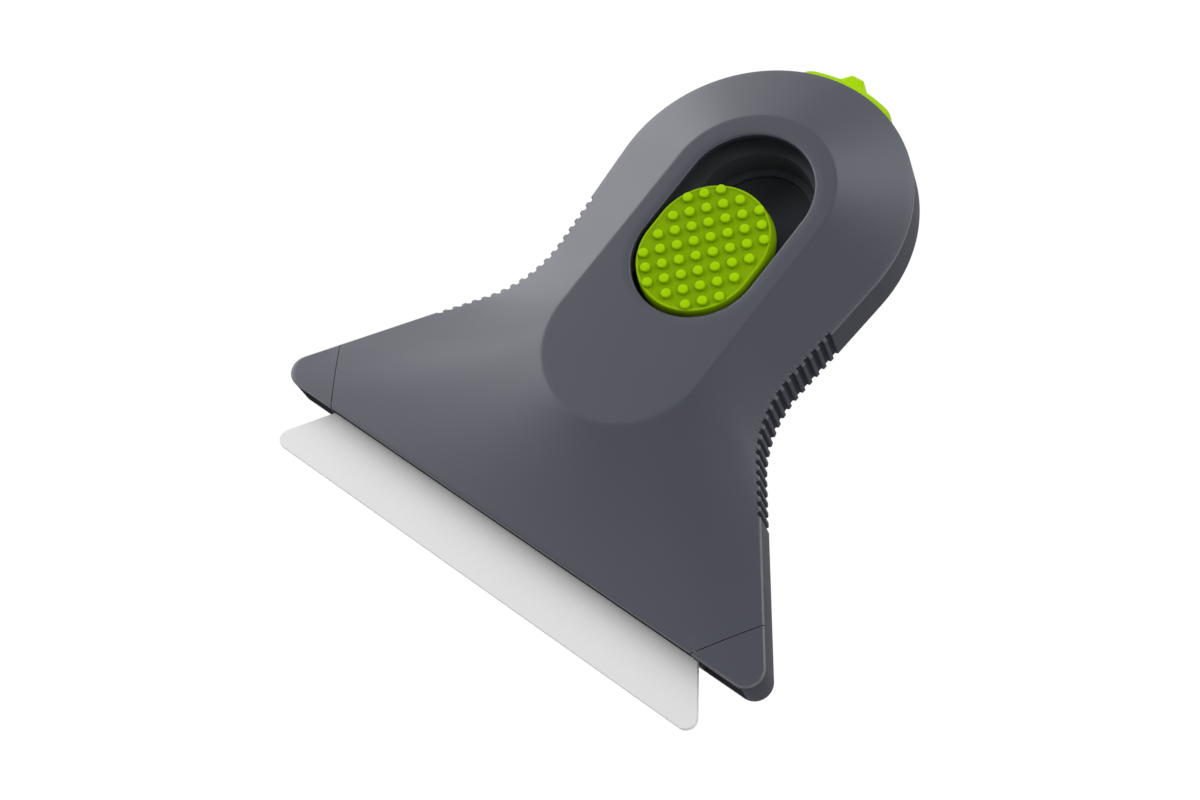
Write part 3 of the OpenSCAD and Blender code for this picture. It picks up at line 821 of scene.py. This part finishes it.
def cut_mouth(body, shape):
    """Room for the blade from cutting to fully inside, and a deeper opening beside it in each tip"""
    front, stop, back = shape.front - BEFORE, shape.front + 0.6 * MM, shape.front + 26.5 * MM
    wide = 56.6 * MM
    narrow = wide - (back - stop) * math.tan(BLADE_LEAN)
    plan = [(-wide, front), (wide, front), (wide, stop), (narrow, back), (-narrow, back), (-wide, stop)]
    cut(body, prism("mouth", plan, shape.mouth_low, shape.mouth_high))
    first, last = shape.seam_x + MM, shape.half_width - 2.5 * MM
    shallow, deep = shape.front + 0.4 * MM, shape.front + shape.lip_depth + 0.1 * MM
    plan = [(first, front), (last, front), (last, shallow), (last - 1.9 * MM, deep), (first, deep)]
    for side in (1, -1):
        cut(body, prism("pocket", [(side * x, y) for x, y in plan], 1.6 * MM, 6.9 * MM))


def screw_bosses(low):
    """A tube round each of the frame's screws"""
    boss = tube("boss", inner=MM, outer=2.2 * MM, low=low, high=4 * MM)
    smooth(boss, 30)
    bosses = []
    for screw in ("frame_screw_fl", "frame_screw_fr", "frame_screw_rl", "frame_screw_rr"):
        near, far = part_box(screw)
        bosses.append(copy_of(boss, ((near.x + far.x) / 2, (near.y + far.y) / 2, 0)))
    bpy.data.objects.remove(boss)
    return bosses


def paint_body_shade(body, line):
    """The faces inside get a colour and matt finish painted to the shade in the hollow, and the grooves'
    faces get painted shade
    """
    shape = line.shape
    add_finish(body, "Hollow painted shade")
    add_finish(body, "Groove painted shade")
    for face in body.data.polygons:
        q, z = face.center.xy, face.center.z
        behind_mouth = q.y > shape.front + 0.7 * MM
        if MM < z < shape.parting - 0.1 * MM and behind_mouth and line.depth(q) > 1.3 * MM:
            face.material_index = 1
        elif z < shape.rim and line.in_groove(q):
            face.material_index = 2


# Top cover


def cover_rings(line):
    """Rings of the cover's section, from the foot of its rim over the top, down the slot and back inside"""
    shape = line.shape
    edge = shape.parting + shape.parting_gap
    soft, radius, fillet = shape.flat_fillet, shape.slot_radius, shape.slot_fillet
    under = shape.top - shape.skin

    def foot(zone):
        return shape.lip_low if zone == "front" else edge

    rings = [line.wall_ring(0, foot)]
    rings += line.rim_rings()
    rings += [line.slope_ring(k / 10) for k in range(10)]
    rings += [line.near_flat_ring(6 * soft), line.near_flat_ring(2 * soft)]
    rings.append(line.flat_ring(0, shape.top - soft * 0.16))
    rings += [line.flat_ring(2 * soft, shape.top), line.flat_ring(6 * soft, shape.top)]
    rings.append(line.slot_ring(radius + fillet + 1.6 * MM, shape.top))
    for a in quarter(5):
        z = shape.top - fillet * (1 - math.cos(a))
        rings.append(line.slot_ring(radius + fillet * (1 - math.sin(a)), z))
    for away, z in ((0, under + 0.15 * MM), (0.15 * MM, under), (1.5 * MM, under)):
        rings.append(line.slot_ring(radius + away, z))
    rings += [line.slope_ring(share, shape.skin, edge) for share in (1.0, 0.8, 0.6, 0.4, 0.2)]
    inner, lip = shape.wall + 0.2 * MM, shape.lip_depth + 0.4 * MM
    inside = [p + n * (lip if zone == "front" else inner) for p, n, g, zone in line.points]
    rings.append([lift(q, edge) for q in inside])
    rings.append([lift(q, foot(zone)) for q, (p, n, g, zone) in zip(inside, line.points)])
    return rings


def cut_seams(cover, shape):
    """Part the cover from the tips, with each seam's front end eased, so that it swings clear of the tip"""
    ease, run = 0.14 * MM, 5 * MM
    for side in (1, -1):
        point, normal = seam_plane(shape, side, -shape.seam_gap / 2)
        bisect(cover, point, normal)
        lean = Vector((side * run, -(run * math.tan(shape.seam_angle) + ease + 0.1 * MM), 0)).normalized()
        bisect(cover, point - Vector((side * ease, 0, 0)), lean)


def locating_rib(line):
    """Rib that sits inside the wall, up to 20 mm behind the front edge"""
    shape = line.shape
    outer, inner = shape.wall + 0.2 * MM, shape.wall + 1.2 * MM
    low, high = shape.parting - 1.7 * MM, shape.parting + shape.parting_gap + 0.05 * MM
    corners = ((outer, high), (outer, low), (inner, low), (inner, high))
    rib = loft("rib", [line.wall_ring(inset, z, False) for inset, z in corners], closed=True)
    bisect(rib, Vector((0, shape.front + 20 * MM, 0)), Vector((0, -1, 0)))
    return rib


def catches():
    """Two posts, each with a toe for the latch ring"""
    inner, outer, low = 26.5 * MM, 27.75 * MM, 4.2 * MM
    post = arc_block("post", inner, outer, first=-33, last=-27, low=low, high=9.4 * MM, steps=8)
    toe = arc_block("toe", inner, outer, first=-27.1, last=-19, low=low, high=5.2 * MM, steps=10)
    return [post, toe, copy_of(post, turn=52), copy_of(toe, turn=52)]


def paint_lip_shade(cover, shape):
    """The lip's face is painted near black, as painted shade under the rim"""
    add_finish(cover, "Lip painted shade")
    for face in cover.data.polygons:
        c = face.center
        if face.normal.y < -0.7 and c.y < shape.front + 0.3 * MM and c.z < shape.rim - shape.rim_fillet:
            face.material_index = 1


# Button and latch


def button_cap(foot, head, low, top):
    """Cap with the plan of a short slot, a foot, and a bead round its top"""
    y0, y1 = BUTTON[0][1] + foot, BUTTON[1][1] - foot
    edge, bead = 0.28 * MM, 0.2 * MM

    def ring(radius, z):
        points = []
        for u in spread(96):
            a = 2 * math.pi * (u + 0.5 / 96)
            y = y1 if math.sin(a) > 0 else y0
            points.append(Vector((radius * math.cos(a), y + radius * math.sin(a), z)))
        return points

    rings = [ring(foot - 2 * MM, low), ring(foot - 0.1 * MM, low), ring(foot, low + 0.1 * MM)]
    for a in quarter(4):
        rings.append(ring(head - edge * (1 - math.cos(a)), top + bead - edge * (1 - math.sin(a))))
    # the bead's inner side: distance in mm from its crest, and share of its height that is gone
    for away, drop in ((0.12, 0.1), (0.22, 0.4), (0.32, 0.8), (0.44, 1), (0.9, 1)):
        rings.append(ring(head - edge - away * MM, top + bead * (1 - drop)))
    cap = loft("button", rings)
    smooth(cap, 40)
    return cap


def grip_dots(grip, centre, top):
    """Dots in staggered rows; one is modelled at the middle and copied"""
    sunk = 0.1 * MM
    clear_selection()
    bpy.ops.mesh.primitive_cylinder_add(
        vertices=32, radius=grip.dot_width / 2, depth=grip.dot_height + sunk,
        location=(0, 0, top + (grip.dot_height - sunk) / 2))
    bpy.ops.object.transform_apply(location=True)
    dot = bpy.context.object
    for v in dot.data.vertices:
        if v.co.z > top + grip.dot_height / 2:
            v.co.x, v.co.y = v.co.x * 0.95, v.co.y * 0.95
    bevel(dot, 0.2 * MM, segments=3)
    smooth(dot, 50)
    dots = []
    for i in range(-4, 5):
        for j in range(-5, 6):
            if abs(i + j) % 2 == 1 and abs(i) + abs(j) <= 7:
                dots.append(copy_of(dot, (i * grip.dot_pitch, centre + j * grip.dot_pitch, 0)))
    bpy.data.objects.remove(dot)
    return dots


def latch_section(inner, thick, inset, ridge):
    """Plan of the latch's plate; inset draws its outside in, ridge is the share of the ridge's full reach"""
    first, last, end_taper = math.radians(-18.8), math.radians(21.4), math.radians(4.5)
    # the ridge falls away from this distance from its middle, over this width, both in mm
    crest, fall = 1.15, 2.35
    reach = LATCH[1][1] - inner - thick
    steps = 150
    outside, inside = [], []
    for i in range(steps + 1):
        a = first + (last - first) * i / steps
        u = within((inner * abs(math.sin(a)) / MM - crest) / fall)
        height = 0.5 + 0.5 * math.cos(math.pi * u ** 0.75)
        end = min(1.0, (a - first) / end_taper, (last - a) / end_taper)
        plate = thick * (0.12 + 0.88 * math.sqrt(max(0.0, 1 - (1 - end) ** 2)))
        r = inner + max(0.05 * MM, plate + reach * ridge * height - inset)
        outside.append((r * math.sin(a), r * math.cos(a)))
        inside.append((inner * math.sin(a), inner * math.cos(a)))
    return outside + inside[::-1]


# Stage


def shown(nodes):
    """1 where the camera, a reflection or a clear piece looks, and 0 for light on the object"""
    camera, glossy, clear = (nodes.node("ShaderNodeLightPath", output=f"Is {ray} Ray")
                             for ray in ("Camera", "Glossy", "Transmission"))
    return camera.or_more(glossy).or_more(clear)


def lay_ground():
    """A pale floor that shows white and keeps the part's shadow"""
    clear_selection()
    bpy.ops.mesh.primitive_plane_add(size=6, location=(0, 0, -0.05 * MM))
    ground = bpy.context.object
    ground.name = "ground"
    pale = Finish("Pale ground")
    pale.set(Base_Color=(0.8, 0.8, 0.8, 1), Roughness=0.9)
    glow = pale.node("ShaderNodeEmission", Strength=1.03)
    floor = Wire(pale, pale.shader.outputs[0])
    both = pale.node("ShaderNodeMixShader", shown(pale) * 0.965, floor, glow)
    pale.plug(both, pale.tree.nodes["Material Output"].inputs["Surface"])
    ground.data.materials.append(pale.material)


def light_world(scene):
    """White where it is seen, and an even light of the strength FILL on the object"""
    world = bpy.data.worlds.new("Studio")
    scene.world = world
    world.use_nodes = True
    nodes = Nodes(world.node_tree)
    sky = nodes.tree.nodes["Background"]
    nodes.fill(sky, {"Color": (1, 1, 1, 1), "Strength": shown(nodes) * (1 - FILL) + FILL})


def place_camera(scene):
    back = (PLACE - TARGET).normalized()
    flat = Vector((0, 0, 1)).cross(back).normalized()
    rise = back.cross(flat)
    right = math.cos(ROLL) * flat + math.sin(ROLL) * rise
    up = -math.sin(ROLL) * flat + math.cos(ROLL) * rise
    data = bpy.data.cameras.new("View")
    data.lens, data.sensor_width, data.sensor_fit = LENS, SENSOR, "HORIZONTAL"
    data.clip_start, data.clip_end = 0.01, 20
    camera = bpy.data.objects.new("View", data)
    camera.matrix_world = Matrix((right, up, back)).transposed().to_4x4()
    camera.location = PLACE
    bpy.context.collection.objects.link(camera)
    scene.camera = camera


def hang_lamp(name, turn, rise, power):
    """A round softbox that faces what the camera looks at"""
    clear_selection()
    turn, rise = math.radians(turn), math.radians(rise)
    way = Vector((math.sin(turn) * math.cos(rise), math.cos(turn) * math.cos(rise), math.sin(rise)))
    bpy.ops.object.light_add(type="AREA", location=TARGET + AWAY * way)
    light = bpy.context.object
    light.name = name
    light.data.shape, light.data.size, light.data.energy = "DISK", AWAY / 2, power
    light.rotation_euler = (-way).to_track_quat("-Z", "Y").to_euler()


# Operators


class SCRAPER_OT_finishes(bpy.types.Operator):
    """Make the plastics and metals"""

    bl_idname = "scraper.finishes"
    bl_label = "Finishes"

    def execute(self, context):
        shape, colours = context.scene.scraper_shape, context.scene.scraper_colours
        rim, plate = shape.rim, BUTTON[1][2] - context.scene.scraper_grip.dot_height
        # under the rim the side wall's colour share of 0.62 is painted shade on the walls; its rougher finish
        # is the wall's own
        moulded("Body plastic", colours.body, grain=0.000004, roughness=0.36, specular=0.55,
                step=(rim - 0.6 * MM, rim - 0.4 * MM, 0.62, 0.8), edge=rim)
        # the inside faces get a colour and matt finish painted to the shade in the hollow, not the body's own
        # plastic
        moulded("Hollow painted shade", (0.062, 0.064, 0.075), grain=0.000003, roughness=0.85, specular=0.15)
        # the grooves' faces are painted darker, as painted shade in the grooves
        moulded("Groove painted shade", times(colours.body, 0.7), grain=0.000003, roughness=0.75, specular=0.2)
        # the front lip's face is painted near black, as painted shade under the rim
        moulded("Lip painted shade", times(colours.body, 0.15), grain=0.000003, roughness=0.85, specular=0.05)
        # the plate between the dots is painted darker than the dot tops, as painted shade between the dots
        moulded("Button plastic", colours.lime, grain=0.000002, roughness=0.45, specular=0.03,
                step=(plate + 0.03 * MM, plate + 0.4 * MM, 0.6, 0.6))
        moulded("Lime plastic", colours.lime, grain=0.000002, roughness=0.45, specular=0.05)
        moulded("Black plastic", colours.black, grain=0.000003, roughness=0.55, specular=0.25)
        fired("Blade ceramic", colours.blade)
        sheet_metal("Screw steel", (0.5, 0.51, 0.53), roughness=0.28, along=(1, 1, 1))
        sheet_metal("Spring strip", (0.55, 0.56, 0.58), roughness=0.25, along=(1, 40, 1))
        painted("Clamp paint", (0.05, 0.05, 0.056))
        return {"FINISHED"}


class SCRAPER_OT_body(bpy.types.Operator):
    """Model the lower body with its grip grooves, corner tips and mouth"""

    bl_idname = "scraper.body"
    bl_label = "Lower body"

    def execute(self, context):
        shape = context.scene.scraper_shape
        line = Outline(shape, context.scene.scraper_grip)
        body = body_blank(line)
        cut(body, prism("above", between_seams(shape, BEHIND), shape.parting, UP))
        hollow_out(body, line)
        cut_mouth(body, shape)
        # the latch's web passes the rear wall
        cut(body, arc_block("window", 27 * MM, 34 * MM, first=-6.6, last=18.6, low=3.6 * MM, high=5.6 * MM))
        close(body)
        smooth(body, 30)
        # the rail carries the latch ring
        sunk = shape.floor - 0.1 * MM
        rail = arc_block("rail", 26.6 * MM, 27.85 * MM, first=-38, last=50, low=sunk, high=3.2 * MM)
        body = join("lower_body", [body, rail] + screw_bosses(sunk))
        dress(body, "body", "Body plastic", "base_shell")
        paint_body_shade(body, line)
        return {"FINISHED"}


class SCRAPER_OT_cover(bpy.types.Operator):
    """Model the cover with its flat, slopes, slot, lip and catches"""

    bl_idname = "scraper.cover"
    bl_label = "Top cover"

    def execute(self, context):
        shape = context.scene.scraper_shape
        line = Outline(shape, context.scene.scraper_grip)
        cover = loft("cover", cover_rings(line), closed=True)
        cut_seams(cover, shape)
        close(cover)
        smooth(cover, 30)
        cover = join("cover", [cover, locating_rib(line)] + catches())
        dress(cover, "cover", "Body plastic", "top_cover")
        paint_lip_shade(cover, shape)
        return {"FINISHED"}


class SCRAPER_OT_button(bpy.types.Operator):
    """Model the thumb button with its grid of dots"""

    bl_idname = "scraper.button"
    bl_label = "Thumb button"

    def execute(self, context):
        grip = context.scene.scraper_grip
        near, far = BUTTON
        top = far[2] - grip.dot_height
        cap = button_cap(foot=far[0], head=12.05 * MM, low=near[2], top=top)
        centre = (near[1] + far[1]) / 2 + 0.15 * MM
        button = join("button", [cap] + grip_dots(grip, centre, top))
        dress(button, "slider", "Button plastic", "thumb_button")
        return {"FINISHED"}


class SCRAPER_OT_latch(bpy.types.Operator):
    """Model the rear latch plate with its finger ridge"""

    bl_idname = "scraper.latch"
    bl_label = "Rear latch"

    def execute(self, context):
        inner = context.scene.scraper_shape.rear_radius + 0.05 * MM
        thick = 1.1 * MM
        low, high = LATCH[0][2], LATCH[1][2]
        # height, inset in mm and the ridge's share
        levels = [(low, 0.25, 0), (low + 0.07 * MM, 0.1, 0), (low + 0.25 * MM, 0, 0), (low + 0.5 * MM, 0, 0),
                  (low + 0.9 * MM, 0, 0.2), (low + 1.15 * MM, 0, 0.75), (low + 1.4 * MM, 0, 0.95),
                  (low + 1.7 * MM, 0, 1), (high - 0.95 * MM, 0, 1), (high - 0.7 * MM, 0.03, 0.97),
                  (high - 0.5 * MM, 0.08, 0.88), (high - 0.36 * MM, 0.08, 0.72),
                  (high - 0.2 * MM, 0.02, 0.1), (high - 0.1 * MM, 0.06, 0), (high, 0.18, 0)]
        plate = loft("latch", [[Vector((x, y, z)) for x, y in latch_section(inner, thick, inset * MM, ridge)]
                               for z, inset, ridge in levels])
        smooth(plate, 50)
        web = arc_block("web", 29.47 * MM, 31.4 * MM, first=-6, last=6, low=3.7 * MM, high=5.5 * MM, steps=8)
        plate = join("latch", [plate, web])
        dress(plate, "latch", "Lime plastic", "latch_slide")
        return {"FINISHED"}


class SCRAPER_OT_blade(bpy.types.Operator):
    """Model the blade with its rounded corners and ground edge"""

    bl_idname = "scraper.blade"
    bl_label = "Blade"

    def execute(self, context):
        (_, front, low), (_, back, high) = BLADE
        half, tip = 55.7 * MM, 2.1 * MM
        out = Vector((math.cos(BLADE_LEAN), math.sin(BLADE_LEAN)))
        corner = crossing(out, out.dot(Vector((half, front))) - tip, Vector((0, -1)), -front - tip)
        right = [Vector((half - (back - front) * math.tan(BLADE_LEAN), back))]
        steps = 12
        for k in range(steps + 1):
            a = BLADE_LEAN - k / steps * (math.pi / 2 + BLADE_LEAN)
            right.append(corner + tip * Vector((math.cos(a), math.sin(a))))
        plan = [(p.x, p.y) for p in right] + [(-p.x, p.y) for p in reversed(right)]
        blade = prism("blade", plan, low, high)
        bevel(blade, 0.12 * MM, segments=2)
        # under the bevel's angle, so that the flat faces keep their flat shading
        smooth(blade, 20)
        dress(blade, "slider", "Blade ceramic", "blade")
        return {"FINISHED"}


class SCRAPER_OT_inside(bpy.types.Operator):
    """Give the construction solids inside their finishes"""

    bl_idname = "scraper.inside"
    bl_label = "Inner parts"

    def execute(self, context):
        by_slot = {"dark_plastic": "Body plastic", "green_plastic": "Lime plastic",
                   "frame_plastic": "Black plastic", "blade_ceramic": "Blade ceramic",
                   "clamp_steel": "Clamp paint", "spring_steel": "Spring strip", "screw_steel": "Screw steel"}
        slots = {s["node"]: s["material_slot"] for s in frame["record"]["subparts"]}
        for name, node in frame["nodes"].items():
            node.data.materials.clear()
            add_finish(node, by_slot[slots[name]])
        return {"FINISHED"}


class SCRAPER_OT_stage(bpy.types.Operator):
    """Set the floor, the lights and the camera"""

    bl_idname = "scraper.stage"
    bl_label = "Stage"

    def execute(self, context):
        lay_ground()
        light_world(context.scene)
        place_camera(context.scene)
        for lamp in LAMPS:
            hang_lamp(*lamp)
        context.scene.view_settings.view_transform = "Standard"
        return {"FINISHED"}


class SCRAPER_PT_panel(bpy.types.Panel):
    """Lists the pieces of the scraper"""

    bl_idname = "SCRAPER_PT_panel"
    bl_label = "Scraper"
    bl_space_type = "VIEW_3D"
    bl_region_type = "UI"
    bl_category = "Scraper"

    def draw(self, context):
        for step in STEPS:
            self.layout.operator(step.bl_idname)
        for group in (context.scene.scraper_shape, context.scene.scraper_grip, context.scene.scraper_colours):
            box = self.layout.box()
            for name in group.bl_rna.properties.keys():
                if name not in ("rna_type", "name"):
                    box.prop(group, name)


STEPS = (SCRAPER_OT_finishes, SCRAPER_OT_inside, SCRAPER_OT_body, SCRAPER_OT_cover, SCRAPER_OT_button,
         SCRAPER_OT_latch, SCRAPER_OT_blade, SCRAPER_OT_stage)
CLASSES = (ScraperShape, ScraperGrip, ScraperColours, *STEPS, SCRAPER_PT_panel)


def register():
    for cls in CLASSES:
        bpy.utils.register_class(cls)
    bpy.types.Scene.scraper_shape = PointerProperty(type=ScraperShape)
    bpy.types.Scene.scraper_grip = PointerProperty(type=ScraperGrip)
    bpy.types.Scene.scraper_colours = PointerProperty(type=ScraperColours)


def unregister():
    del bpy.types.Scene.scraper_shape
    del bpy.types.Scene.scraper_grip
    del bpy.types.Scene.scraper_colours
    for cls in reversed(CLASSES):
        bpy.utils.unregister_class(cls)


def main():
    register()
    for step in STEPS:
        group, name = step.bl_idname.split(".")
        getattr(getattr(bpy.ops, group), name)()
    clear_selection()


if __name__ == "__main__":
    main()
